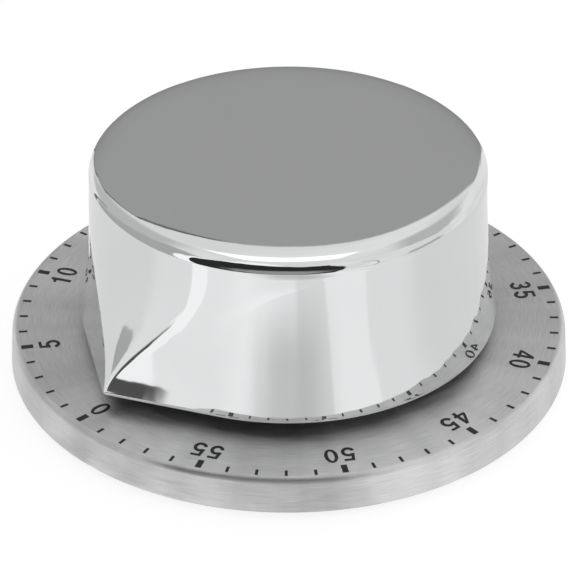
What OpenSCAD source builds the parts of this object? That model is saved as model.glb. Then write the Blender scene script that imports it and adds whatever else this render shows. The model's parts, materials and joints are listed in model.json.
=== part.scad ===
// Wind-up kitchen timer: a steel dial disc, a turning beaked knob, and the clockwork under the knob.
// Millimetres. Z up, rest plane at z = 0, origin under the centre. The 0 mark and the beak face -Y.

/* [Base] */
// Widest diameter of the steel disc, at its lower edge
base_d = 78; // [74:0.5:84]
// Height of the dial face above the table
dial_z = 6; // [6:0.1:7]
// Thickness of the pressed steel sheet
sheet = 0.8; // [0.6:0.1:0.8]
// Height of the rubber feet below the lower cover
foot_drop = 0.8; // [0.6:0.1:0.8]
// Diameter of one rubber foot
foot_d = 10; // [8:0.5:11]

/* [Dial] */
// Outer end of every minute mark, as a radius
mark_r = 37.8; // [37:0.1:37.9]
// Length of a one-minute mark
minor_len = 1.17; // [0.8:0.05:1.4]
// Length of a five-minute mark
major_len = 1.67; // [1.2:0.05:2]
// Height of the figures
digit_h = 2.93; // [2.4:0.05:3.2]
// Radius of the middle of the figures
digit_r = 33.87; // [33.5:0.05:34.2]

/* [Knob] */
// Radius of the knob at its lower edge
knob_r = 29; // [28.2:0.1:29.4]
// Radius of the knob at its shoulder
shoulder_r = 27.25; // [26.6:0.05:27.4]
// Reach of the beak from the axis
beak_r = 33.3; // [32:0.1:34]
// Nose radius of the beak at its lower edge
beak_nose = 0.6; // [0.5:0.1:1.2]
// Growth of the knob's flare toward its lower edge
wall_flare = 2; // [1.5:0.1:3]
// How low the beak's crest sets in
crest_ease = 1.7; // [1.2:0.1:2.2]
// How low the beak's nose turns sharp
nose_ease = 1.3; // [1.1:0.1:1.5]
// Overall height of the timer
top_z = 32.4; // [31.8:0.1:33]
// Height of the crowned top above the shoulder
crown_h = 2.1; // [1.6:0.1:2.4]
// Sharpness of the shoulder
crown_k = 11; // [6:1:14]
// Wall thickness of the knob
knob_wall = 1.8; // [1.4:0.1:1.8]

/* [Clockwork] */
// Teeth of the great wheel
great_t = 72; // [72:8:72]
// Teeth of the second and third wheels
train_t = 64; // [64:8:64]
// Leaves of every pinion
leaves = 8; // [8:1:8]
// Teeth of the escape wheel
escape_t = 15; // [15:1:15]

/* [Hidden] */
$fn = 72;

// Base
base_r = base_d / 2;
skirt_z = foot_drop;
skirt_top_r = base_r - 0.25;
edge_r = 0.9;
sheet_under = dial_z - sheet;
hole_r = 24.5;
cover_r = 37.9;
floor_top = skirt_z + 1.6;
flange_z = 3.9;
drum_out = 24.3;
drum_in = 22.9;
drum_top = 27;
screw_r = 31;
screw_a = [90, 210, 330];
foot_a = [45, 135, 225, 315];

// Movement plates, 0.8 mm brass, 13 mm apart
plate_r = 22.3;
bp0 = 3.2;
bp1 = 4.0;
tp0 = 17.0;
tp1 = 18.0;
pillar_pos = [[19, 10], [19, 125], [19, 292]];
lug_a = [70, 190, 345];

// Gear modules
m1 = 0.33;
m2 = 0.25;
m3 = 0.22;
d12 = m1 * (great_t + leaves) / 2;
d23 = m2 * (train_t + leaves) / 2;
d34 = m3 * (train_t + leaves) / 2;
r3 = 14;
r4 = 15.5;
r5 = 15.5;
r6 = 14.2;
d45 = 5;
d56 = 5.9;
function swing(a, b, c) = acos((a * a + b * b - c * c) / (2 * a * b));
a2 = 160;
a3 = a2 + swing(d12, r3, d23);
a4 = a3 + swing(r3, r4, d34);
a5 = a4 + swing(r4, r5, d45);
a6 = a5 + swing(r5, r6, d56);
function polar(r, a) = [r * cos(a), r * sin(a)];
p2 = polar(d12, a2);
p3 = polar(r3, a3);
p4 = polar(r4, a4);
p5 = polar(r5, a5);
p6 = polar(r6, a6);
p_ham = polar(15, 60);
p_stop = polar(7.3, 276);
click_pos = [6.5, 3.3];
function heading(a, b) = atan2(b[1] - a[1], b[0] - a[0]);

// Knob surface: at each height a circle with a nose circle in front, joined by tangent lines
knob_z = 8.1;
shoulder_z = top_z - crown_h;
function sect(r, rn, c, phi) =
    let (p = abs(phi))
    c < 0.001 ? r :
    let (b = acos((r - rn) / c), f = atan2(rn * sin(b), c + rn * cos(b)))
    p <= f ? c * cos(p) + sqrt(rn * rn - pow(c * sin(p), 2)) :
    p < b ? r / cos(p - b) : r;
// Angles round the knob, close together at the beak
half_n = 56;
function spread(i) = i <= 10 ? i * 0.4 : i <= 22 ? 4 + (i - 10) * 2.4 : 32.8 + (i - 22) * 147.2 / 34;
angles = [for (i = [-half_n + 1:half_n]) i < 0 ? -spread(-i) : spread(i)];
na = len(angles);
function ring(r, rn, c, z) = [for (p = angles) let (q = sect(r, rn, c, p))
    [q * sin(-p), -q * cos(p), z]];
function ramp(a, b, t) = a + (b - a) * t;
// The wall flares toward its lower edge. Out of it swells the beak, whose crest is a hollow curve
// and whose nose turns from round to sharp along an S-shaped one
function drop(z) = max(0, (shoulder_z - z) / (shoulder_z - knob_z));
function wall_r(z) = ramp(shoulder_r, knob_r, pow(drop(z), wall_flare));
function s_curve(x) = x * x * (3 - 2 * x);
function wall_ring(z, inset, nose, reach) = let (r = wall_r(z) - inset,
    tip = ramp(r, reach, pow(drop(z), crest_ease)), rn = ramp(r, nose, s_curve(pow(drop(z), nose_ease))))
    ring(r, rn, tip - rn, z);
function heights(top, n) = [for (i = [0:n]) ramp(knob_z, top, i / n)];
crown_u = [72, 56, 42, 30, 20, 12, 6, 2.5];
function outer_rings() = concat(
    [for (z = heights(shoulder_z, 15)) wall_ring(z, 0, beak_nose, beak_r)],
    [for (u = crown_u) ring(shoulder_r * pow(sin(u), 2 / crown_k), 1, 0, shoulder_z + crown_h * cos(u))]);
in_nose = 0.4;
in_reach = in_nose + (knob_r - knob_wall - in_nose) * (beak_r - beak_nose) / (knob_r - beak_nose);
cavity_z = top_z - 1.8;
in_shoulder = cavity_z - 1.5;
in_top_r = wall_r(in_shoulder) - knob_wall;
function inner_rings() = concat(
    [for (z = heights(in_shoulder, 9)) wall_ring(z, knob_wall, in_nose, in_reach)],
    [ring(in_top_r - 0.35, 1, 0, cavity_z - 0.5), ring(in_top_r - 1.4, 1, 0, cavity_z)]);

function flat(v) = [for (a = v) for (b = a) b];
// Quads between ring k and ring k + 1, wound one way or the other
function band(k, out) = [for (i = [0:na - 1]) let (j = (i + 1) % na, a = k * na, b = a + na)
    each out ? [[a + i, b + j, a + j], [a + i, b + i, b + j]]
        : [[a + i, a + j, b + j], [a + i, b + j, b + i]]];

module knob() {
    o = outer_rings();
    n = inner_rings();
    no = len(o);
    ni = len(n);
    pts = concat(flat(o), [[0, 0, top_z]], flat(n), [[0, 0, cavity_z]]);
    s = no * na + 1;
    crown = no * na;
    roof = s + ni * na;
    outside = flat([for (k = [0:no - 2]) band(k, true)]);
    cap = [for (i = [0:na - 1]) [(no - 1) * na + i, crown, (no - 1) * na + (i + 1) % na]];
    inside = flat([for (k = [0:ni - 2]) [for (f = band(k, false)) [f[0] + s, f[1] + s, f[2] + s]]]);
    ceiling = [for (i = [0:na - 1]) [s + (ni - 1) * na + i, s + (ni - 1) * na + (i + 1) % na, roof]];
    rim = [for (i = [0:na - 1]) let (j = (i + 1) % na) each [[i, j, s + j], [i, s + j, s + i]]];
    color([0.8, 0.82, 0.85])
        polyhedron(points = pts, faces = concat(outside, cap, inside, ceiling, rim), convexity = 6);
}

// A hub glued under the knob's top, with a D-shaped bore on the arbor
module knob_hub() {
    color([0.12, 0.12, 0.13])
        difference() {
            union() {
                translate([0, 0, 26.6]) cylinder(r = 4.2, h = cavity_z - 26.6);
                translate([0, 0, cavity_z - 1]) cylinder(r = 10, h = 1);
            }
            intersection() {
                translate([0, 0, 26]) cylinder(r = 1.78, h = 3.6);
                translate([-3, -3, 26]) cube([6, 4.23, 3.6]);
            }
        }
}

// Pressed disc with a turned-down skirt
function quarter(cx, cz, r, n) = [for (i = [0:n]) [cx + r * sin(90 * i / n), cz + r * cos(90 * i / n)]];
module base_shell() {
    color([0.7, 0.7, 0.7])
        rotate_extrude($fn = 96)
            polygon(concat([[hole_r, sheet_under], [hole_r, dial_z]],
                quarter(skirt_top_r - edge_r, dial_z - edge_r, edge_r, 5),
                [[base_r, skirt_z], [base_r - 0.7, skirt_z], [skirt_top_r - 0.7, sheet_under]]));
}

module tick(len, wide, m) {
    rotate([0, 0, -90 - 6 * m])
        translate([mark_r - len, -wide / 2])
            square([len, wide]);
}
// Curved stroke: a strip along an ellipse from angle a to angle b
function arc_pts(x, y, rx, ry, a, b, n) = [for (i = [0:n]) let (t = a + (b - a) * i / n)
    [x + rx * cos(t), y + ry * sin(t)]];
function rev(v) = [for (i = [len(v) - 1:-1:0]) v[i]];
module stroke(x, y, rx, ry, w, a, b, n) {
    polygon(concat(arc_pts(x, y, rx, ry, a, b, n), rev(arc_pts(x, y, rx - w, ry - w, a, b, n))));
}
// Figures 1 unit high and 0.62 wide
module figure(d) {
    w = 0.62;
    s = 0.165;
    if (d == 0)
        difference() {
            polygon([for (i = [0:23]) [w / 2 + w / 2 * cos(15 * i), 0.5 + 0.515 * sin(15 * i)]]);
            polygon([for (i = [0:23]) [w / 2 + (w / 2 - s) * cos(15 * i), 0.5 + 0.38 * sin(15 * i)]]);
        }
    if (d == 1)
        polygon([[0.06, 0.68], [0.06, 0.81], [0.2, 0.85], [0.3, 1],
            [0.44, 1], [0.44, 0], [0.26, 0], [0.26, 0.7]]);
    if (d == 2) {
        stroke(0.31, 0.69, 0.31, 0.32, s, 175, -38, 14);
        polygon([[0, 0], [0, 0.13], [0.4, 0.53], [0.56, 0.5], [0.25, 0.15], [0.6, 0.15], [0.6, 0]]);
    }
    if (d == 3) {
        stroke(0.3, 0.73, 0.27, 0.28, 0.15, 165, -80, 14);
        stroke(0.3, 0.29, 0.31, 0.305, s, 90, -168, 16);
        translate([0.2, 0.45]) square([0.15, 0.13]);
    }
    if (d == 4)
        difference() {
            union() {
                translate([0.36, 0]) square([s, 1]);
                translate([0, 0.22]) square([0.62, 0.14]);
                polygon([[0, 0.36], [0, 0.25], [0.2, 0.25], [0.4, 0.9], [0.4, 1], [0.37, 1]]);
            }
            polygon([[0.15, 0.36], [0.36, 0.36], [0.36, 0.74]]);
        }
    if (d == 5) {
        translate([0.1, 0.86]) square([0.48, 0.14]);
        polygon([[0.1, 1], [0.03, 0.47], [0.18, 0.46], [0.24, 0.88], [0.24, 1]]);
        stroke(0.3, 0.33, 0.32, 0.345, s, 130, -165, 18);
    }
}
module number(n) {
    tens = floor(n / 10);
    ones = n % 10;
    pitch = 0.8;
    if (tens > 0)
        translate([-0.31 - pitch / 2, -0.5]) figure(tens);
    translate([-0.31 + (tens > 0 ? pitch / 2 : 0), -0.5]) figure(ones);
}
module dial_print() {
    color([0.08, 0.08, 0.08])
        translate([0, 0, dial_z])
            linear_extrude(0.03) {
                for (m = [0:59])
                    tick(m % 5 == 0 ? major_len : minor_len, m % 5 == 0 ? 0.82 : 0.4, m);
                for (n = [0:5:55])
                    rotate([0, 0, -90 - 6 * n])
                        translate([digit_r, 0])
                            rotate([0, 0, -90])
                                scale(digit_h) number(n);
            }
}

// Black moulding: a flange under the steel disc and a drum round the clockwork
module movement_case() {
    color([0.1, 0.1, 0.11])
        difference() {
            union() {
                translate([0, 0, flange_z]) cylinder(r = 37.6, h = sheet_under - flange_z);
                translate([0, 0, floor_top]) cylinder(r = drum_out, h = drum_top - floor_top);
                for (a = screw_a)
                    rotate([0, 0, a]) translate([screw_r, 0, floor_top]) cylinder(r = 3.2, h = 2);
            }
            translate([0, 0, floor_top - 1]) cylinder(r = drum_in, h = tp1 - floor_top + 1);
            translate([0, 0, tp1 - 1]) cylinder(r = 21.2, h = 4);
            translate([0, 0, tp1 + 1.1]) cylinder(r = drum_in, h = 12);
            for (a = screw_a)
                rotate([0, 0, a]) translate([screw_r, 0, floor_top - 1]) cylinder(r = 1.05, h = 3.2);
            for (a = lug_a)
                rotate([0, 0, a]) translate([21.75, 0, tp1 - 0.5]) cylinder(r = 0.45, h = 1.3);
        }
}
module bottom_cover() {
    color([0.15, 0.15, 0.16])
        difference() {
            union() {
                translate([0, 0, skirt_z]) cylinder(r = cover_r, h = 1.6);
                translate([0, 0, floor_top - 0.1])
                    difference() {
                        cylinder(r = cover_r - 0.1, h = flange_z - floor_top + 0.1);
                        translate([0, 0, -1]) cylinder(r = 36.4, h = 5);
                    }
            }
            for (a = screw_a)
                rotate([0, 0, a]) {
                    translate([screw_r, 0, 0]) cylinder(r = 1.3, h = 5);
                    translate([screw_r, 0, skirt_z - 0.5]) cylinder(r = 2.3, h = 1.2);
                }
            for (a = foot_a)
                rotate([0, 0, a])
                    translate([screw_r, 0, skirt_z - 1]) cylinder(r = foot_d / 2 + 0.05, h = 1.4);
        }
}
module foot_pads() {
    color([0.2, 0.2, 0.2])
        for (a = foot_a)
            rotate([0, 0, a]) translate([screw_r, 0, 0]) cylinder(r = foot_d / 2, h = skirt_z + 0.4);
}
// Pan-head screws from below, with a cross recess
module cover_screws() {
    color([0.75, 0.75, 0.75])
        for (a = screw_a)
            rotate([0, 0, a])
                translate([screw_r, 0, 0])
                    difference() {
                        union() {
                            translate([0, 0, skirt_z + 0.05]) cylinder(r = 2.1, h = 0.65);
                            translate([0, 0, skirt_z + 0.6]) cylinder(r = 1.03, h = 3.2);
                        }
                        translate([-1.1, -0.2, skirt_z - 0.5]) cube([2.2, 0.4, 0.85]);
                        translate([-0.2, -1.1, skirt_z - 0.5]) cube([0.4, 2.2, 0.85]);
                    }
}

// Movement plates with their pivot holes
module bottom_plate() {
    color([0.8, 0.68, 0.35])
        difference() {
            translate([0, 0, bp0]) cylinder(r = plate_r, h = bp1 - bp0);
            translate([0, 0, 0]) cylinder(r = 1.25, h = 10);
            for (p = [p2, p3, p4, p5, p6])
                translate([p[0], p[1], 0]) cylinder(r = 0.36, h = 10);
            translate([p_ham[0], p_ham[1], 0]) cylinder(r = 0.85, h = 10);
            translate([p_stop[0], p_stop[1], 0]) cylinder(r = 0.5, h = 10);
            for (q = pillar_pos)
                rotate([0, 0, q[1]]) translate([q[0], 0, 0]) cylinder(r = 0.7, h = 10);
        }
}
module top_plate() {
    color([0.8, 0.68, 0.35])
        difference() {
            translate([0, 0, tp0]) cylinder(r = plate_r, h = tp1 - tp0);
            translate([0, 0, 10]) cylinder(r = 2.53, h = 10);
            for (p = [p2, p3, p4, p5, p6])
                translate([p[0], p[1], 10]) cylinder(r = 0.36, h = 10);
            translate([p_ham[0], p_ham[1], 10]) cylinder(r = 0.85, h = 10);
            for (q = pillar_pos)
                rotate([0, 0, q[1]]) translate([q[0], 0, 10]) cylinder(r = 0.7, h = 10);
            for (a = lug_a)
                rotate([0, 0, a]) translate([21.75, 0, 10]) cylinder(r = 0.5, h = 10);
        }
}
module plate_pillars() {
    color([0.75, 0.63, 0.3])
        for (q = pillar_pos)
            rotate([0, 0, q[1]])
                translate([q[0], 0, 0]) {
                    translate([0, 0, bp1]) cylinder(r = 1.2, h = tp0 - bp1);
                    translate([0, 0, bp0 - 0.7]) cylinder(r = 0.66, h = tp1 - bp0 + 1.6);
                }
}
module pillar_nuts() {
    color([0.7, 0.7, 0.72])
        for (q = pillar_pos)
            rotate([0, 0, q[1]])
                translate([q[0], 0, 0]) {
                    difference() {
                        translate([0, 0, tp1]) cylinder(r = 1.5, h = 0.9, $fn = 6);
                        translate([0, 0, tp1 - 1]) cylinder(r = 0.69, h = 3);
                    }
                    difference() {
                        translate([0, 0, bp0 - 0.7]) cylinder(r = 1.5, h = 0.7, $fn = 6);
                        translate([0, 0, bp0 - 2]) cylinder(r = 0.69, h = 3);
                    }
                }
}
module movement_screws() {
    color([0.7, 0.7, 0.72])
        for (a = lug_a)
            rotate([0, 0, a])
                translate([21.75, 0, 0])
                    difference() {
                        union() {
                            translate([0, 0, tp0 - 0.5]) cylinder(r = 0.95, h = 0.5);
                            translate([0, 0, tp0 - 0.1]) cylinder(r = 0.42, h = 1.8);
                        }
                        translate([-2, -0.12, tp0 - 1]) cube([4, 0.24, 0.7]);
                    }
}

// Gear outlines. A wheel tooth stands on angle 0
module wheel_outline(m, n) {
    r = m * n / 2;
    h = 180 / n;
    tooth = [[-0.5, -1.15], [-0.49, -0.15], [-0.31, 0.57], [-0.1, 0.95],
        [0.1, 0.95], [0.31, 0.57], [0.49, -0.15], [0.5, -1.15]];
    polygon([for (k = [0:n - 1]) for (q = tooth) polar(r + q[1] * m, 360 * k / n + q[0] * h)]);
}
module pinion_outline(m, n) {
    r = m * n / 2;
    h = 180 / n;
    leaf = [[-0.4, -1.3], [-0.4, 0], [-0.34, 0.33], [-0.12, 0.55],
        [0.12, 0.55], [0.34, 0.33], [0.4, 0], [0.4, -1.3]];
    polygon([for (k = [0:n - 1]) for (q = leaf) polar(r + q[1] * m, 360 * k / n + q[0] * h)]);
}
module wheel(m, n, turn, z, h, bore, windows) {
    r = m * n / 2;
    difference() {
        translate([0, 0, z]) rotate([0, 0, turn]) linear_extrude(h) wheel_outline(m, n);
        translate([0, 0, z - 1]) cylinder(r = bore, h = h + 2);
        if (windows)
            for (k = [0:4])
                rotate([0, 0, 72 * k + 36])
                    translate([r * 0.53, 0, z - 1]) cylinder(r = r * 0.24, h = h + 2);
    }
}
// Arbor with a pinion cut on it, and a thin pivot at each end
module pinion_arbor(m, turn, z, h, shaft) {
    translate([0, 0, z]) rotate([0, 0, turn]) linear_extrude(h) pinion_outline(m, leaves);
    translate([0, 0, bp1 + 0.08]) cylinder(r = shaft, h = tp0 - bp1 - 0.16);
    translate([0, 0, bp0]) cylinder(r = 0.32, h = tp1 - bp0);
}

module main_arbor() {
    color([0.6, 0.6, 0.62])
        difference() {
            union() {
                translate([0, 0, bp0]) cylinder(r = 1.2, h = 2);
                translate([0, 0, bp1 + 0.08]) cylinder(r = 2, h = tp0 - bp1 - 0.16);
                translate([0, 0, tp0 - 1]) cylinder(r = 1.75, h = 29.4 - tp0 + 1);
            }
            translate([-3, 1.2, 26.3]) cube([6, 3, 4]);
        }
}
// The arm and its pin end the knob's travel short of a full turn
module stop_arm() {
    color([0.6, 0.6, 0.62])
        translate([0, 0, 4.2])
            rotate([0, 0, 276 - 6.1])
                difference() {
                    union() {
                        cylinder(r = 3.4, h = 0.6);
                        translate([0, -0.28, 0]) cube([8, 0.56, 0.6]);
                    }
                    translate([0, 0, -1]) cylinder(r = 2.03, h = 3);
                }
}
module stop_pin() {
    color([0.6, 0.6, 0.62])
        translate([p_stop[0], p_stop[1], bp0]) cylinder(r = 0.47, h = 1.65);
}
module great_wheel() {
    color([0.85, 0.72, 0.38])
        difference() {
            wheel(m1, great_t, a2, 5, 1, 2.03, false);
            translate([click_pos[0], click_pos[1], 4]) cylinder(r = 0.5, h = 3);
            translate([7.6, -5.6, 4]) cylinder(r = 0.41, h = 3);
        }
}
ratchet_n = 24;
module ratchet_wheel() {
    color([0.62, 0.62, 0.64])
        translate([0, 0, 6.2])
            difference() {
                linear_extrude(0.8)
                    polygon([for (k = [0:ratchet_n - 1]) each [polar(4.6, 15 * k), polar(3.95, 15 * k + 1)]]);
                translate([0, 0, -1]) cylinder(r = 2.03, h = 3);
            }
}
// Pawl on the great wheel: its beak stands in a ratchet tooth
module click() {
    color([0.62, 0.62, 0.64]) {
        translate([0, 0, 6.15])
            linear_extrude(0.75)
                polygon([polar(4.07, -28.2), polar(4.75, -28.8), [5.3, -1.7], [5.85, 0.5], [7.3, 2.8],
                    [7.6, 3.4], [7.2, 4.3], [6.2, 4.4], [5.6, 3.7], [4.6, -1.6], [3.9, -1.85]]);
        translate([click_pos[0], click_pos[1], 5.1]) cylinder(r = 0.47, h = 2.1);
    }
}
module click_spring() {
    color([0.5, 0.5, 0.52]) {
        translate([7.6, -5.6, 5.05]) cylinder(r = 0.38, h = 1.9);
        translate([0, 0, 6.3])
            linear_extrude(0.5)
                polygon([[7.35, -5.55], [7.0, -3.2], [6.05, 0.55], [6.25, 0.62], [7.3, -3.1], [7.8, -5.35]]);
    }
}

// Flat spiral strips: a closed outline from an outer and an inner spiral
function spiral(ra, rb, a, b, n) = [for (i = [0:n]) polar(ramp(ra, rb, i / n), ramp(a, b, i / n))];
module spiral_strip(ra, rb, thick, a, b, n) {
    polygon(concat(spiral(ra, rb, a, b, n), rev(spiral(ra + thick, rb + thick, a, b, n))));
}
module mainspring() {
    color([0.45, 0.5, 0.58])
        translate([0, 0, 7.8])
            linear_extrude(4.4)
                spiral_strip(2.08, 9.5, 0.3, 0, 2520, 210);
}
module hairspring() {
    color([0.45, 0.5, 0.62])
        translate([p6[0], p6[1], 15.3])
            linear_extrude(0.35)
                spiral_strip(0.62, 3.4, 0.09, 0, 1800, 130);
}
module hairspring_stud() {
    color([0.8, 0.68, 0.35])
        translate([p6[0], p6[1], 15.1])
            translate([3.5 + 0.42, 0, 0]) cylinder(r = 0.4, h = tp0 - 15.1);
}

module second_arbor() {
    color([0.62, 0.62, 0.64])
        translate([p2[0], p2[1], 0])
            pinion_arbor(m1, a2 + 180 + 180 / leaves, 4.5, 2, 0.6);
}
module second_wheel() {
    color([0.85, 0.72, 0.38])
        translate([p2[0], p2[1], 0])
            wheel(m2, train_t, heading(p2, p3), 13.4, 0.8, 0.63, true);
}
module third_arbor() {
    color([0.62, 0.62, 0.64])
        translate([p3[0], p3[1], 0])
            pinion_arbor(m2, heading(p2, p3) + 180 + 180 / leaves, 12.9, 1.6, 0.5);
}
module third_wheel() {
    color([0.85, 0.72, 0.38])
        translate([p3[0], p3[1], 0])
            wheel(m3, train_t, heading(p3, p4), 14.8, 0.7, 0.53, true);
}
module escape_arbor() {
    color([0.62, 0.62, 0.64])
        translate([p4[0], p4[1], 0])
            pinion_arbor(m3, heading(p3, p4) + 180 + 180 / leaves, 14.4, 1.5, 0.42);
}
// Pointed teeth that lean forward
module escape_wheel() {
    color([0.85, 0.72, 0.38])
        translate([p4[0], p4[1], 10.4])
            rotate([0, 0, heading(p4, p5)])
            difference() {
                linear_extrude(0.6)
                    polygon([for (k = [0:escape_t - 1]) each [polar(3.3, 24 * k - 5), polar(4.2, 24 * k - 1),
                        polar(4.2, 24 * k + 1), polar(3.3, 24 * k + 3)]]);
                translate([0, 0, -1]) cylinder(r = 0.45, h = 3);
                for (k = [0:4])
                    rotate([0, 0, 72 * k])
                        translate([1.95, 0, -1]) cylinder(r = 0.75, h = 3);
            }
}
// Pin-pallet lever: two pins stand down over the escape wheel, the fork faces the balance
to_wheel = heading(p5, p4);
to_balance = heading(p5, p6);
pin_reach = 4.425;
pin_dx = d45 - pin_reach * cos(30);
pin_dy = pin_reach * sin(30);
pin_half = atan2(pin_dy, pin_dx);
pin_d = sqrt(pin_dx * pin_dx + pin_dy * pin_dy);
module pallet_lever() {
    color([0.8, 0.68, 0.35])
        translate([p5[0], p5[1], 11.3])
            difference() {
                linear_extrude(0.5)
                    union() {
                        circle(r = 1.1);
                        for (s = [-1, 1])
                            rotate([0, 0, to_wheel + s * pin_half])
                                polygon([[0, -0.45], [pin_d, -0.38], [pin_d + 0.35, 0],
                                    [pin_d, 0.38], [0, 0.45]]);
                        rotate([0, 0, to_balance])
                            polygon([[0, -0.5], [3.1, -0.4], [3.3, -1.3], [4.2, -1.3], [4.2, -0.85],
                                [3.75, -0.75], [3.75, 0.75], [4.2, 0.85], [4.2, 1.3], [3.3, 1.3],
                                [3.1, 0.4], [0, 0.5]]);
                    }
                translate([0, 0, -1]) cylinder(r = 0.53, h = 3);
                for (s = [-1, 1])
                    rotate([0, 0, to_wheel + s * pin_half])
                        translate([pin_d, 0, -1]) cylinder(r = 0.2, h = 3);
            }
}
module pallet_pins() {
    color([0.62, 0.62, 0.64])
        translate([p5[0], p5[1], 10.2])
            for (s = [-1, 1])
                rotate([0, 0, to_wheel + s * pin_half])
                    translate([pin_d, 0, 0]) cylinder(r = 0.18, h = 1.7);
}
module pallet_arbor() {
    color([0.62, 0.62, 0.64])
        translate([p5[0], p5[1], 0]) {
            translate([0, 0, bp1 + 0.08]) cylinder(r = 0.5, h = tp0 - bp1 - 0.16);
            translate([0, 0, bp0]) cylinder(r = 0.32, h = tp1 - bp0);
        }
}
module balance_staff() {
    color([0.62, 0.62, 0.64])
        translate([p6[0], p6[1], 0]) {
            translate([0, 0, bp1 + 0.08]) cylinder(r = 0.45, h = tp0 - bp1 - 0.16);
            translate([0, 0, bp0]) cylinder(r = 0.32, h = tp1 - bp0);
            translate([0, 0, 12.1]) cylinder(r = 1.55, h = 0.4);
            rotate([0, 0, to_balance + 180])
                translate([1.15, 0, 11.2]) cylinder(r = 0.2, h = 1);
        }
}
module balance_wheel() {
    color([0.85, 0.72, 0.38])
        translate([p6[0], p6[1], 13.3])
            difference() {
                cylinder(r = 5.1, h = 0.9);
                translate([0, 0, -1])
                    linear_extrude(3)
                        difference() {
                            circle(r = 4.3);
                            circle(r = 1.4);
                            translate([-5, -0.5]) square([10, 1]);
                        }
                translate([0, 0, -1]) cylinder(r = 0.48, h = 3);
            }
}

// Cam whose notch lets the hammer fall at zero
nose_a = 100;
module alarm_cam() {
    color([0.85, 0.72, 0.38])
        translate([0, 0, 15.8])
            difference() {
                cylinder(r = 6, h = 0.7);
                translate([0, 0, -1]) cylinder(r = 2.03, h = 3);
                translate([0, 0, -1])
                    linear_extrude(3)
                        polygon([polar(4.3, 66), polar(9, 64), polar(9, 118),
                            polar(4.3, 116), polar(4.3, 91)]);
            }
}
nose = polar(6.5, nose_a) - p_ham;
module hammer_arbor() {
    color([0.62, 0.62, 0.64])
        translate([p_ham[0], p_ham[1], 0]) {
            translate([0, 0, bp0]) cylinder(r = 0.81, h = 20.8 - bp0);
            translate([0, 0, 15.8]) cylinder(r = 1.8, h = 0.7);
            translate([0, 0, 15.8])
                linear_extrude(0.7)
                    polygon([polar(1.3, 150), nose + [-0.35, 0.45], nose + [-0.55, -0.1],
                        nose + [-0.15, -0.45], nose + [0.3, -0.2], polar(1.3, 260)]);
        }
}
head = polar(18.35, 30) - p_ham;
module hammer() {
    color([0.7, 0.7, 0.72])
        translate([p_ham[0], p_ham[1], 0])
            difference() {
                union() {
                    translate([0, 0, 19.6]) cylinder(r = 1.7, h = 0.8);
                    translate([0, 0, 19.6])
                        linear_extrude(0.8)
                            polygon([[-0.3, -1], [0.5, 1], head + [0.2, 0.6], head + [-0.2, -0.6]]);
                    translate([head[0], head[1], 19.3]) cylinder(r = 1.35, h = 3.6);
                }
                translate([0, 0, 15]) cylinder(r = 0.84, h = 10);
            }
}
// Bent wire from a post on the plate to the hammer arm
module hammer_spring() {
    color([0.5, 0.5, 0.52]) {
        translate([6.2, 8.2, tp1]) cylinder(r = 0.6, h = 2.4);
        translate([0, 0, 19.8])
            linear_extrude(0.4)
                polygon([[6.2, 8.5], [6.3, 7.9], [11.9, 9.75], [12.1, 9.6], [12.2, 9.85], [11.9, 10.0]]);
    }
}

// Bell: a turned-over steel cup on a tubular post
bell_r = 21.5;
bell_top = 25;
module bell() {
    color([0.75, 0.75, 0.78])
        rotate_extrude($fn = 96)
            polygon(concat([[2.56, bell_top - 0.6], [2.56, bell_top]],
                quarter(bell_r - 2.2, bell_top - 2.2, 2.2, 6),
                [[bell_r, 19.4], [bell_r - 0.6, 19.4]],
                rev(quarter(bell_r - 2.2, bell_top - 2.2, 1.6, 6))));
}
module bell_post() {
    color([0.8, 0.68, 0.35])
        difference() {
            union() {
                translate([0, 0, tp0]) cylinder(r = 2.5, h = 9.2);
                translate([0, 0, tp1]) cylinder(r = 3.4, h = bell_top - 0.6 - tp1);
            }
            translate([0, 0, 10]) cylinder(r = 1.79, h = 20);
        }
}
module bell_nut() {
    color([0.7, 0.7, 0.72])
        difference() {
            translate([0, 0, bell_top]) cylinder(r = 4.2, h = 1.1, $fn = 6);
            translate([0, 0, 20]) cylinder(r = 2.53, h = 10);
        }
}

base_shell();
dial_print();
movement_case();
bottom_cover();
foot_pads();
cover_screws();
bottom_plate();
top_plate();
plate_pillars();
pillar_nuts();
movement_screws();
main_arbor();
stop_arm();
stop_pin();
great_wheel();
ratchet_wheel();
click();
click_spring();
mainspring();
second_arbor();
second_wheel();
third_arbor();
third_wheel();
escape_arbor();
escape_wheel();
pallet_lever();
pallet_arbor();
pallet_pins();
balance_staff();
balance_wheel();
hairspring();
hairspring_stud();
alarm_cam();
hammer_arbor();
hammer();
hammer_spring();
bell();
bell_post();
bell_nut();
knob_hub();
knob();
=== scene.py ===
import json
import math

import bmesh
import bpy
from mathutils import Matrix, Vector


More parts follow.
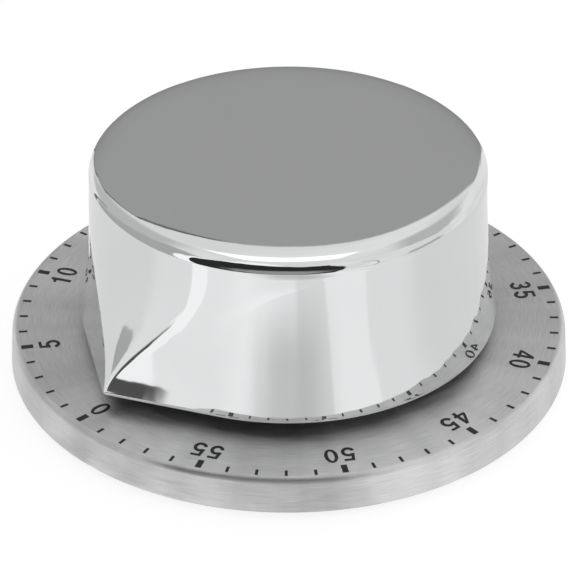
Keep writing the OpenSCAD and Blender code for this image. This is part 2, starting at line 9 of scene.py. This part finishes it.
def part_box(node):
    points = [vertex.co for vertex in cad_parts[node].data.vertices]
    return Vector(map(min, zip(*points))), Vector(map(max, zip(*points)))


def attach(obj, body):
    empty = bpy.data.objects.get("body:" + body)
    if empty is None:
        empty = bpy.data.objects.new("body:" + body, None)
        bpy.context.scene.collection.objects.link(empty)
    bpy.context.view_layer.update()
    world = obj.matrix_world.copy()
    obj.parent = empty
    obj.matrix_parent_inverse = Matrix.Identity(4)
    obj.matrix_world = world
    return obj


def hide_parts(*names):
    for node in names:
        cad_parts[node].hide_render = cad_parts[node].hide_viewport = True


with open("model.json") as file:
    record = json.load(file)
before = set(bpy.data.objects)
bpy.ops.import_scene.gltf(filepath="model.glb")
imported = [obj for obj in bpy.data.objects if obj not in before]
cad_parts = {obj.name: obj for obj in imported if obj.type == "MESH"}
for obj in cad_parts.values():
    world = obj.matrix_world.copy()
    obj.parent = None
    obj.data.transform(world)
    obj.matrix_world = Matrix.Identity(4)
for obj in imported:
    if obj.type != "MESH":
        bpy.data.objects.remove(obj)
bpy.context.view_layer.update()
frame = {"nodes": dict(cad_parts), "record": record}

MM = 0.001

# ---------------------------------------------------------------- sizes, from the frame
KNOB_LOW, KNOB_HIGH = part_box("knob")
DISC_LOW, DISC_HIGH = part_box("base_shell")

KNOB_Z = KNOB_LOW.z
KNOB_TOP = KNOB_HIGH.z
KNOB_R = KNOB_HIGH.y
BEAK_REACH = -KNOB_LOW.y
BEAK_NOSE = 0.6 * MM
SHOULDER_R = 27.25 * MM
CROWN_H = 2.1 * MM
CROWN_POWER = 11
STEEPEST = 88.5  # the crown's slope at its first row above the shoulder, in degrees
WALL_FLARE = 2
CREST_EASE = 1.7
NOSE_EASE = 1.3
WALL = 1.8 * MM
INNER_NOSE = 0.4 * MM
ROOF_Z = KNOB_TOP - WALL
SHOULDER_Z = KNOB_TOP - CROWN_H
# The lower edge's rounding, and how far the hollow's corner comes down and goes in
LIP = 0.12 * MM
CORNER_DOWN = 1.5 * MM
CORNER_IN = 1.4 * MM

DISC_R = DISC_HIGH.y
DIAL_Z = DISC_HIGH.z
SKIRT_Z = DISC_LOW.z
SHEET = 0.8 * MM
SKIRT_SHEET = 0.7 * MM
EDGE_R = 0.9 * MM
RIM_R = 0.15 * MM
HOLE_BEVEL = 0.1 * MM
SKIRT_TOP_R = DISC_R - 0.25 * MM
HOLE_R = 24.5 * MM
FLOOR_HALF = 4 * DISC_R

CAM_AZ = math.radians(48.6251)
CAM_EL = math.radians(32.9831)
CAM_ROLL = math.radians(-0.2138)
CAM_DISTANCE = 475.8 * MM
CAM_RIGHT = -0.085 * MM
CAM_UP = 4.03 * MM
CAM_LENS = 211.9


# ---------------------------------------------------------------- node helpers
class Nodes:
    """A material's or world's node tree, with one short call per node."""

    def __init__(self, tree):
        self.tree = tree
        tree.nodes.clear()

    def add(self, kind, **settings):
        node = self.tree.nodes.new(kind)
        for name, value in settings.items():
            setattr(node, name, value)
        return node

    def link(self, a, b):
        self.tree.links.new(a, b)

    def put(self, socket, value):
        if isinstance(value, bpy.types.NodeSocket):
            self.link(value, socket)
        else:
            socket.default_value = value

    def math(self, operation, a, b=None, c=None, clamp=False):
        node = self.add("ShaderNodeMath", operation=operation, use_clamp=clamp)
        for socket, value in zip(node.inputs, (a, b, c)):
            if value is not None:
                self.put(socket, value)
        return node.outputs[0]

    def dot(self, a, b):
        node = self.add("ShaderNodeVectorMath", operation="DOT_PRODUCT")
        self.put(node.inputs[0], a)
        self.put(node.inputs[1], b)
        return node.outputs["Value"]

    def smooth(self, value, low, high, to_low=0.0, to_high=1.0):
        node = self.add("ShaderNodeMapRange", interpolation_type="SMOOTHSTEP")
        for name, x in (("Value", value), ("From Min", low), ("From Max", high),
                        ("To Min", to_low), ("To Max", to_high)):
            self.put(node.inputs[name], x)
        return node.outputs[0]

    def mix(self, factor, a, b):
        node = self.add("ShaderNodeMix", data_type="RGBA")
        self.put(node.inputs["Factor"], factor)
        for socket, value in ((node.inputs[6], a), (node.inputs[7], b)):
            self.put(socket, (*value, 1.0) if isinstance(value, tuple) else value)
        return node.outputs[2]

    def xyz(self, x, y, z):
        node = self.add("ShaderNodeCombineXYZ")
        for socket, value in zip(node.inputs, (x, y, z)):
            self.put(socket, value)
        return node.outputs[0]

    def place(self):
        """The point in the piece's own frame, and its parts."""
        point = self.add("ShaderNodeTexCoord").outputs["Object"]
        parts = self.add("ShaderNodeSeparateXYZ")
        self.link(point, parts.inputs[0])
        return point, parts.outputs

    def polar(self):
        """Radius from the timer's axis, angle round it, and height."""
        point, (x, y, z) = self.place()
        radius = self.math("SQRT", self.math("ADD", self.math("MULTIPLY", x, x),
                                             self.math("MULTIPLY", y, y)))
        return radius, self.math("ARCTAN2", y, x), z

    def noise(self, vector, scale, detail=3.0, roughness=0.5):
        node = self.add("ShaderNodeTexNoise")
        for name, x in (("Vector", vector), ("Scale", scale), ("Detail", detail),
                        ("Roughness", roughness)):
            self.put(node.inputs[name], x)
        return node.outputs["Fac"]

    def stretched(self, vector, scale):
        node = self.add("ShaderNodeMapping")
        self.put(node.inputs["Vector"], vector)
        node.inputs["Scale"].default_value = scale
        return node.outputs[0]

    def bump(self, height, distance, strength=1.0, normal=None):
        node = self.add("ShaderNodeBump")
        self.put(node.inputs["Height"], height)
        node.inputs["Distance"].default_value = distance
        node.inputs["Strength"].default_value = strength
        if normal is not None:
            self.link(normal, node.inputs["Normal"])
        return node.outputs[0]


def new_material(name):
    material = bpy.data.materials.new(name)
    material.use_nodes = True
    n = Nodes(material.node_tree)
    shader = n.add("ShaderNodeBsdfPrincipled")
    n.link(shader.outputs[0], n.add("ShaderNodeOutputMaterial").inputs["Surface"])
    return material, n, shader


# ---------------------------------------------------------------- materials
def chrome():
    """Bright plating over a polished casting: a mirror with faint drawn ripples down its wall."""
    material, n, shader = new_material("chrome")
    radius, angle, z = n.polar()
    point = n.place()[0]
    around = n.xyz(n.math("COSINE", angle), n.math("SINE", angle), n.math("MULTIPLY", z, 4.0))
    streaks = n.noise(around, 7.0, 1.0)
    on_wall = n.smooth(radius, SHOULDER_R - 1.2 * MM, SHOULDER_R - 0.2 * MM)
    swirl = n.noise(point, 240.0, 2.0)
    haze = n.noise(point, 90.0, 4.0)
    n.put(shader.inputs["Base Color"], n.mix(haze, (0.70, 0.705, 0.71), (0.74, 0.745, 0.75)))
    n.put(shader.inputs["Roughness"], n.smooth(haze, 0.3, 0.75, 0.02, 0.045))
    shader.inputs["Metallic"].default_value = 1.0
    ripple = n.bump(swirl, 0.010 * MM)
    n.put(shader.inputs["Normal"], n.bump(n.math("MULTIPLY", streaks, on_wall), 0.11 * MM, normal=ripple))
    return material


def brushed_steel():
    """Sheet steel brushed round its axis, so its gloss spreads across the lines, toward and away."""
    material, n, shader = new_material("brushed_steel")
    radius, angle, z = n.polar()
    across = n.math("SUBTRACT", radius, z)
    fine, coarse = 9.0 / MM, 0.9 / MM
    lines = n.noise(n.xyz(n.math("MULTIPLY", across, fine), n.math("MULTIPLY", angle, 9.0), 0.0),
                    1.0, 3.0, 0.6)
    broad = n.noise(n.xyz(n.math("MULTIPLY", across, coarse), n.math("MULTIPLY", angle, 5.0), 4.0),
                    1.0, 2.0)
    # Painted highlight: the base colour mixes the brushing lines, the steel's own grain, with lighter and
    # darker fans round the axis that stand in for the brushed gloss's radial highlights
    painted_highlight_fans = n.noise(n.xyz(n.math("COSINE", angle), n.math("SINE", angle), 0.0), 6.0, 3.0)
    grain_and_painted_fans = n.math("ADD", n.math("MULTIPLY", lines, 0.6), n.math("MULTIPLY", painted_highlight_fans, 0.4))
    n.put(shader.inputs["Base Color"],
          n.mix(n.smooth(grain_and_painted_fans, 0.3, 0.7), (0.58, 0.58, 0.58), (0.78, 0.78, 0.78)))
    n.put(shader.inputs["Roughness"], n.smooth(broad, 0.25, 0.75, 0.38, 0.46))
    shader.inputs["Metallic"].default_value = 1.0
    shader.inputs["Anisotropic"].default_value = 0.8
    shader.inputs["Anisotropic Rotation"].default_value = 0.25
    tangent = n.add("ShaderNodeTangent", direction_type="RADIAL", axis="Z")
    n.link(tangent.outputs[0], shader.inputs["Tangent"])
    n.put(shader.inputs["Normal"], n.bump(lines, 0.005 * MM))
    return material


def moulded(name, dark, light, grain, roughness):
    """Fine-textured black moulding or rubber."""
    material, n, shader = new_material(name)
    point = n.place()[0]
    speck = n.noise(point, 1.0 / grain, 4.0, 0.6)
    n.put(shader.inputs["Base Color"], n.mix(speck, dark, light))
    n.put(shader.inputs["Roughness"], n.smooth(speck, 0.3, 0.7, roughness - 0.06, roughness + 0.06))
    n.put(shader.inputs["Normal"], n.bump(speck, 0.03 * MM))
    return material


def worked_metal(name, dark, light, roughness, lay=(1.0, 1.0, 1.0), grain=0.25 * MM):
    """Turned, rolled, ground or blued metal: fine lines along one lay, and a slow change of tone."""
    material, n, shader = new_material(name)
    point = n.place()[0]
    lines = n.noise(n.stretched(point, lay), 1.0 / grain, 3.0, 0.6)
    tone = n.noise(point, 140.0, 2.0)
    n.put(shader.inputs["Base Color"], n.mix(n.smooth(tone, 0.3, 0.7), dark, light))
    n.put(shader.inputs["Roughness"], n.smooth(lines, 0.25, 0.75, roughness - 0.07, roughness + 0.07))
    shader.inputs["Metallic"].default_value = 1.0
    n.put(shader.inputs["Normal"], n.bump(lines, 0.004 * MM))
    return material


MATERIALS = {
    "chrome": chrome(),
    "brushed_steel": brushed_steel(),
    "black_plastic": moulded("black_plastic", (0.012, 0.012, 0.013), (0.022, 0.022, 0.024),
                             0.35 * MM, 0.5),
    "rubber": moulded("rubber", (0.02, 0.02, 0.02), (0.04, 0.04, 0.04), 0.2 * MM, 0.8),
    "ink": moulded("ink", (0.008, 0.008, 0.009), (0.014, 0.014, 0.015), 0.1 * MM, 0.55),
    "zinc_steel": worked_metal("zinc_steel", (0.50, 0.51, 0.53), (0.62, 0.62, 0.61), 0.3),
    "brass": worked_metal("brass", (0.62, 0.45, 0.17), (0.76, 0.58, 0.26), 0.28, (1, 8, 1)),
    "ground_steel": worked_metal("ground_steel", (0.42, 0.43, 0.45), (0.52, 0.53, 0.54), 0.25,
                                 (1, 1, 12)),
    "spring_steel": worked_metal("spring_steel", (0.06, 0.09, 0.19), (0.13, 0.16, 0.26), 0.25,
                                 (1, 1, 10)),
    "bell_steel": worked_metal("bell_steel", (0.62, 0.62, 0.61), (0.70, 0.70, 0.69), 0.18,
                               (1, 1, 14)),
}


def finish_cad_nodes():
    for part in frame["record"]["subparts"]:
        node = frame["nodes"][part["node"]]
        node.data.materials.clear()
        node.data.materials.append(MATERIALS[part["material_slot"]])


# ---------------------------------------------------------------- mesh helpers
def make_piece(name, points, faces, slot, body, *nodes):
    mesh = bpy.data.meshes.new(name)
    mesh.from_pydata(points, [], faces)
    work = bmesh.new()
    work.from_mesh(mesh)
    bmesh.ops.remove_doubles(work, verts=work.verts, dist=0.0005 * MM)
    bmesh.ops.recalc_face_normals(work, faces=work.faces)
    work.to_mesh(mesh)
    work.free()
    mesh.polygons.foreach_set("use_smooth", [True] * len(mesh.polygons))
    mesh.materials.append(MATERIALS[slot])
    piece = bpy.data.objects.new(name, mesh)
    bpy.context.scene.collection.objects.link(piece)
    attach(piece, body)
    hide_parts(*nodes)
    return piece


def lathe(profile, steps):
    """A closed profile of (radius, height) turned round the axis."""
    points, faces = [], []
    for r, z in profile:
        for k in range(steps):
            a = 2 * math.pi * k / steps
            points.append((r * math.cos(a), r * math.sin(a), z))
    rows = len(profile)
    for i in range(rows):
        j = (i + 1) % rows
        for k in range(steps):
            m = (k + 1) % steps
            faces.append((i * steps + k, i * steps + m, j * steps + m, j * steps + k))
    return points, faces


def arc(cx, cz, r, start, end, steps):
    """Points on a circle from one angle to another, in degrees from straight up, outward."""
    angles = [math.radians(start + (end - start) * i / steps) for i in range(steps + 1)]
    return [(cx + r * math.sin(a), cz + r * math.cos(a)) for a in angles]


def blend(a, b, t):
    return a + (b - a) * t


# ---------------------------------------------------------------- the knob
def drop(z):
    """How far down the wall a height is: 0 at the shoulder, 1 at the lower edge."""
    return max(0.0, (SHOULDER_Z - z) / (SHOULDER_Z - KNOB_Z))


def wall_radius(z):
    return blend(SHOULDER_R, KNOB_R, drop(z) ** WALL_FLARE)


def nose_share(z):
    """How sharp the beak's nose has become at a height, along an S-shaped curve."""
    x = drop(z) ** NOSE_EASE
    return x * x * (3 - 2 * x)


def stations(nose_steps=36, flat_steps=36, body_steps=420):
    """Places round the knob, the same on every ring: on the nose, on the body, or on a flat between."""
    places = [("nose", blend(-1.0, 1.0, i / nose_steps)) for i in range(nose_steps + 1)]
    places += [("right", i / flat_steps) for i in range(1, flat_steps)]
    places += [("body", i / body_steps) for i in range(body_steps + 1)]
    places += [("left", 1 - i / flat_steps) for i in range(1, flat_steps)]
    return places


def outward(angle):
    return Vector((math.sin(angle), -math.cos(angle), 0.0))


def ring(places, radius, nose, middle, z):
    """A circle about the axis and a nose circle in front of it, joined by their common tangents."""
    round_turn = math.radians(60)
    turn = math.acos(min(1.0, (radius - nose) / middle)) if middle > 0.0001 * MM else round_turn
    centre = Vector((0.0, -middle, 0.0))
    points = []
    for kind, share in places:
        if kind == "nose":
            p = centre + outward(share * turn) * nose
        elif kind == "body":
            p = outward(blend(turn, 2 * math.pi - turn, share)) * radius
        else:
            side = outward(turn if kind == "right" else -turn)
            p = (centre + side * nose).lerp(side * radius, share)
        points.append((p.x, p.y, z))
    return points


def wall_ring(places, z, inset):
    low_nose = max(BEAK_NOSE - inset, INNER_NOSE)
    low_middle = (KNOB_R - inset - low_nose) * (BEAK_REACH - BEAK_NOSE) / (KNOB_R - BEAK_NOSE)
    radius = wall_radius(z) - inset
    tip = blend(radius, low_nose + low_middle, drop(z) ** CREST_EASE)
    nose = blend(radius, low_nose, nose_share(z))
    return ring(places, radius, nose, tip - nose, z)


def round_ring(places, radius, z):
    return ring(places, radius, radius, 0.0, z)


def crown_rows(steps):
    """Radius share and height above the shoulder for rows whose slope grows evenly."""
    gain = CROWN_H * CROWN_POWER / (2 * SHOULDER_R)
    rows = []
    for i in range(1, steps + 1):
        slope = math.tan(math.radians(STEEPEST * (1 - i / (steps + 1))))
        low, high = 0.0, math.pi / 2
        for _ in range(50):
            u = (low + high) / 2
            tried = gain * math.sin(u) ** (2 - 2 / CROWN_POWER) / math.cos(u)
            low, high = (u, high) if tried < slope else (low, u)
        rows.append((math.sin(u) ** (2 / CROWN_POWER), CROWN_H * math.cos(u)))
    return rows


def build_knob(inner_steps=18, outer_steps=60, crown_steps=64):
    places = stations()
    count = len(places)
    inner_top = ROOF_Z - CORNER_DOWN
    inner_r = wall_radius(inner_top) - WALL
    lip_z = KNOB_Z + LIP

    # Inside, from the roof's middle down, then the rim, then outside and over the crown
    rings = [round_ring(places, (inner_r - CORNER_IN) * share, ROOF_Z) for share in (0.3, 0.65, 1.0)]
    rings.append(round_ring(places, inner_r - CORNER_IN / 4, ROOF_Z - CORNER_DOWN / 3))
    for i in range(inner_steps + 1):
        rings.append(wall_ring(places, blend(inner_top, lip_z, i / inner_steps), WALL))
    rings.append(wall_ring(places, KNOB_Z, WALL - LIP))
    for share in (0.0, 0.3, 1.0):
        rings.append(wall_ring(places, KNOB_Z + LIP * share, LIP * (1 - share) ** 2))
    for i in range(1, outer_steps + 1):
        rings.append(wall_ring(places, blend(lip_z, SHOULDER_Z, i / outer_steps), 0.0))
    crown = crown_rows(crown_steps)
    middle_share, middle_height = crown[-1]
    for share in (0.75, 0.5, 0.25):
        rise = blend(CROWN_H, middle_height, share ** CROWN_POWER)
        crown.append((middle_share * share, rise))
    for share, height in crown:
        rings.append(round_ring(places, SHOULDER_R * share, SHOULDER_Z + height))

    points = [p for row in rings for p in row] + [(0.0, 0.0, ROOF_Z), (0.0, 0.0, KNOB_TOP)]
    faces = []
    for i in range(len(rings) - 1):
        for k in range(count):
            m = (k + 1) % count
            faces.append((i * count + k, (i + 1) * count + k, (i + 1) * count + m, i * count + m))
    last = (len(rings) - 1) * count
    for k in range(count):
        m = (k + 1) % count
        faces.append((last + count, k, m))
        faces.append((last + count + 1, last + m, last + k))
    return make_piece("knob_shell", points, faces, "chrome", "knob", "knob")


# ---------------------------------------------------------------- the disc
def build_disc():
    under = DIAL_Z - SHEET
    profile = [(HOLE_R, under), (HOLE_R, DIAL_Z - HOLE_BEVEL), (HOLE_R + HOLE_BEVEL, DIAL_Z)]
    profile += [(blend(HOLE_R, SKIRT_TOP_R, s), DIAL_Z) for s in (0.3, 0.6, 0.85)]
    profile += arc(SKIRT_TOP_R - EDGE_R, DIAL_Z - EDGE_R, EDGE_R, 0, 88, 18)
    foot = (DISC_R, SKIRT_Z + RIM_R)
    top = profile[-1]
    profile += [(blend(top[0], foot[0], s), blend(top[1], foot[1], s)) for s in (0.3, 0.65)]
    profile += [foot] + arc(DISC_R - RIM_R, SKIRT_Z + RIM_R, RIM_R, 90, 180, 4)[1:]
    profile += [(DISC_R - SKIRT_SHEET, SKIRT_Z), (SKIRT_TOP_R - SKIRT_SHEET, under)]
    points, faces = lathe(profile, 480)
    return make_piece("dial_disc", points, faces, "brushed_steel", "case", "base_shell")


# ---------------------------------------------------------------- studio
def direction(azimuth, elevation):
    """A unit vector: azimuth from the camera's side, growing to its right, in degrees."""
    a = CAM_AZ + math.radians(azimuth)
    e = math.radians(elevation)
    return Vector((math.sin(a) * math.cos(e), -math.cos(a) * math.cos(e), math.sin(e)))


def side_of(a, b):
    """The plane through two directions; its positive side is to the left, going from a to b."""
    return direction(*a).cross(direction(*b)).normalized()


def window(n, toward, corners, soft):
    """1 inside the window whose corners are listed with its lower edge first, from left to right."""
    inside = None
    for a, b in zip(corners, corners[1:] + corners[:1]):
        one = n.smooth(n.dot(toward, tuple(side_of(a, b))), -soft, soft)
        inside = one if inside is None else n.math("MULTIPLY", inside, one)
    return inside


def studio_world():
    """A light tent: white cloth all round, a grey wall behind, a dark opening toward the camera."""
    world = bpy.data.worlds.new("studio")
    bpy.context.scene.world = world
    world.use_nodes = True
    n = Nodes(world.node_tree)
    toward = n.add("ShaderNodeTexCoord").outputs["Generated"]
    folds = n.noise(toward, 2.6, 3.0)
    creased = n.add("ShaderNodeVectorMath", operation="ADD")
    n.link(toward, creased.inputs[0])
    n.link(n.xyz(0.0, 0.0, n.math("MULTIPLY", n.math("SUBTRACT", folds, 0.5), 0.12)), creased.inputs[1])
    cloth = creased.outputs[0]
    colour = n.mix(n.smooth(folds, 0.35, 0.65), (0.88, 0.88, 0.88), (1.0, 1.0, 1.0))

    panels = [
        # corners as azimuth and elevation, as direction() takes them; softness; tone
        ([(-128, -35), (-58, -35), (-80, 66), (-122, 58)], 0.03, 0.50),  # left wall
        ([(-150, 18), (-118, 18), (-118, 58), (-150, 60)], 0.08, 0.62),  # upper left, behind
        ([(-134, -32), (-129, -32), (-126, 26), (-128, 26)], 0.006, 0.20),  # pole behind the left wall
        ([(64, -22), (90, -22), (90, 16), (66, 14)], 0.05, 0.55),  # low screen on the right
        ([(105, 40), (150, 38), (150, 57), (105, 60)], 0.06, 0.60),  # upper right, behind
        ([(42.6, -32), (43.6, -32), (58.5, 57), (57.5, 58)], 0.003, 0.40),  # seam on the right
    ]
    for corners, soft, tone in panels:
        colour = n.mix(window(n, toward, corners, soft), colour, (tone, tone, tone))
    left_fold = [(170, -35), (197, -35), (211, 31), (203, 43), (190, 42), (170, 37)]
    right_fold = [(160, -35), (190, -35), (185, 42), (172, 42.5), (152, 30)]
    crease_edge = [(176, -35), (198, -35), (212, 32), (203, 44.2), (190, 43.2), (176, 39.5)]
    colour = n.mix(window(n, cloth, crease_edge, 0.006), colour, (0.16, 0.16, 0.16))
    wall_edge = n.math("MAXIMUM", window(n, cloth, right_fold, 0.02), window(n, cloth, left_fold, 0.012))
    depth = n.smooth(n.dot(toward, (0.0, 0.0, 1.0)), -0.3, 0.6, 0.27, 0.42)
    colour = n.mix(wall_edge, colour, n.xyz(depth, depth, depth))
    top_strip = window(n, toward, [(160, 60), (-155, 60), (-148, 74), (148, 72)], 0.02)
    colour = n.mix(top_strip, colour, (1.6, 1.6, 1.6))
    door_frame = window(n, toward, [(-57, -20), (-40, -20), (-170, 85), (-140, 78)], 0.01)
    colour = n.mix(door_frame, colour, (1.25, 1.25, 1.25))
    opening = window(n, toward, [(-49, -15), (24, -15), (60, 77), (-95, 72)], 0.012)
    # A stand-in for light spilt round the camera: the opening is dark in one reflection, white in two
    light_path = n.add("ShaderNodeLightPath").outputs
    second = n.smooth(light_path["Ray Depth"], 2.2, 2.8, 0.03, 1.0)
    colour = n.mix(opening, colour, n.xyz(second, second, second))
    glow = n.smooth(n.dot(toward, tuple(direction(-5, 15))), 0.84, 0.97)
    colour = n.mix(n.math("MULTIPLY", glow, 0.85), colour, (0.42, 0.42, 0.42))

    seen = n.add("ShaderNodeBackground")
    n.put(seen.inputs["Color"], colour)
    plain = n.add("ShaderNodeBackground")
    plain.inputs["Color"].default_value = (1.0, 1.0, 1.0, 1.0)
    plain.inputs["Strength"].default_value = 1.05
    mixed = n.add("ShaderNodeMixShader")
    n.link(light_path["Is Camera Ray"], mixed.inputs[0])
    n.link(seen.outputs[0], mixed.inputs[1])
    n.link(plain.outputs[0], mixed.inputs[2])
    n.link(mixed.outputs[0], n.add("ShaderNodeOutputWorld").inputs["Surface"])


def light_table():
    """A white table lit from below. Its light is toned in sectors, for the knob's reflections only."""
    material, n, shader = new_material("pale_table")
    point, parts = n.place()
    flat = n.add("ShaderNodeVectorMath", operation="NORMALIZE")
    n.link(n.xyz(parts[0], parts[1], 0.0), flat.inputs[0])
    spot = flat.outputs[0]

    def sector(start, end, soft):
        a, b = (math.radians(x) + CAM_AZ for x in (start, end))
        after = n.dot(spot, (math.cos(a), math.sin(a), 0.0))
        before = n.dot(spot, (-math.cos(b), -math.sin(b), 0.0))
        return n.math("MULTIPLY", n.smooth(after, -soft, soft), n.smooth(before, -soft, soft))

    tone = n.xyz(0.95, 0.95, 0.95)
    sectors = [
        # start and end in degrees, from the camera's side and growing to its right; softness; tone
        (-100, -46, 0.015, 0.86),
        (-46, -38, 0.008, 1.14),
        (-22, 0, 0.15, 1.08),
        (3, 18, 0.03, 0.82),
        (18, 37, 0.01, 1.00),
        (37, 110, 0.02, 0.86),
        (60, 140, 0.15, 0.74),
        (-140, -66, 0.10, 0.76),
    ]
    for start, end, soft, value in sectors:
        tone = n.mix(sector(start, end, soft), tone, (value, value, value))
    # Toned by the viewing angle, which no real table does, for the knob's reflections: a grey pool in
    # front, and a dark patch by the beak's flank. The patch darkens the base colour as well, so it also
    # shows on the table itself to a camera lower than some 18 degrees
    low_angle = n.add("ShaderNodeLayerWeight")
    low_angle.inputs["Blend"].default_value = 0.5
    sheen = n.smooth(low_angle.outputs["Facing"], 0.44, 0.61)
    pool = n.math("MULTIPLY", n.math("MULTIPLY", sheen, sector(-13, 15, 0.16)), 0.75)
    tone = n.mix(pool, tone, (0.40, 0.40, 0.40))
    lumps = n.math("MULTIPLY", n.noise(point, 70.0, 2.0), 0.08)
    grazing = n.smooth(n.math("ADD", low_angle.outputs["Facing"], lumps), 0.725, 0.74)
    close = n.smooth(n.polar()[0], 96 * MM, 88 * MM)
    patch = n.math("MULTIPLY", n.math("MULTIPLY", grazing, close), sector(-60, -36.5, 0.03))
    tone = n.mix(patch, tone, (0.04, 0.04, 0.04))
    # Seen straight on, the table's light is plain white
    open_view = n.add("ShaderNodeLightPath").outputs["Is Camera Ray"]
    n.put(shader.inputs["Emission Color"], n.mix(open_view, tone, (1.0, 1.0, 1.0)))
    shader.inputs["Emission Strength"].default_value = 0.85
    n.put(shader.inputs["Base Color"], n.mix(patch, (0.25, 0.25, 0.25), (0.03, 0.03, 0.03)))
    shader.inputs["Roughness"].default_value = 0.9
    return material


def studio_floor():
    """A pale table, wider than the view; beyond its edge the tent goes on down."""
    mesh = bpy.data.meshes.new("floor")
    corners = [(x * FLOOR_HALF, y * FLOOR_HALF, 0) for x, y in ((-1, -1), (1, -1), (1, 1), (-1, 1))]
    mesh.from_pydata(corners, [], [(0, 1, 2, 3)])
    floor = bpy.data.objects.new("floor", mesh)
    bpy.context.scene.collection.objects.link(floor)
    mesh.materials.append(light_table())


def studio_camera():
    back = direction(0, math.degrees(CAM_EL))
    right = Vector((math.cos(CAM_AZ), math.sin(CAM_AZ), 0.0))
    up = back.cross(right)
    lens = bpy.data.cameras.new("camera")
    lens.lens = CAM_LENS
    lens.sensor_width = 36.0
    lens.clip_start = 0.05
    lens.clip_end = 20.0
    camera = bpy.data.objects.new("camera", lens)
    camera.location = (Vector((0, 0, DIAL_Z)) + back * CAM_DISTANCE + right * CAM_RIGHT
                       + up * CAM_UP)
    level_right = right * math.cos(CAM_ROLL) + up * math.sin(CAM_ROLL)
    level_up = up * math.cos(CAM_ROLL) - right * math.sin(CAM_ROLL)
    camera.rotation_mode = "QUATERNION"
    camera.rotation_quaternion = Matrix((level_right, level_up, back)).transposed().to_quaternion()
    bpy.context.scene.collection.objects.link(camera)
    bpy.context.scene.camera = camera


studio_camera()
studio_world()
studio_floor()
bpy.context.scene.view_settings.view_transform = "Standard"
finish_cad_nodes()
build_knob()
build_disc()
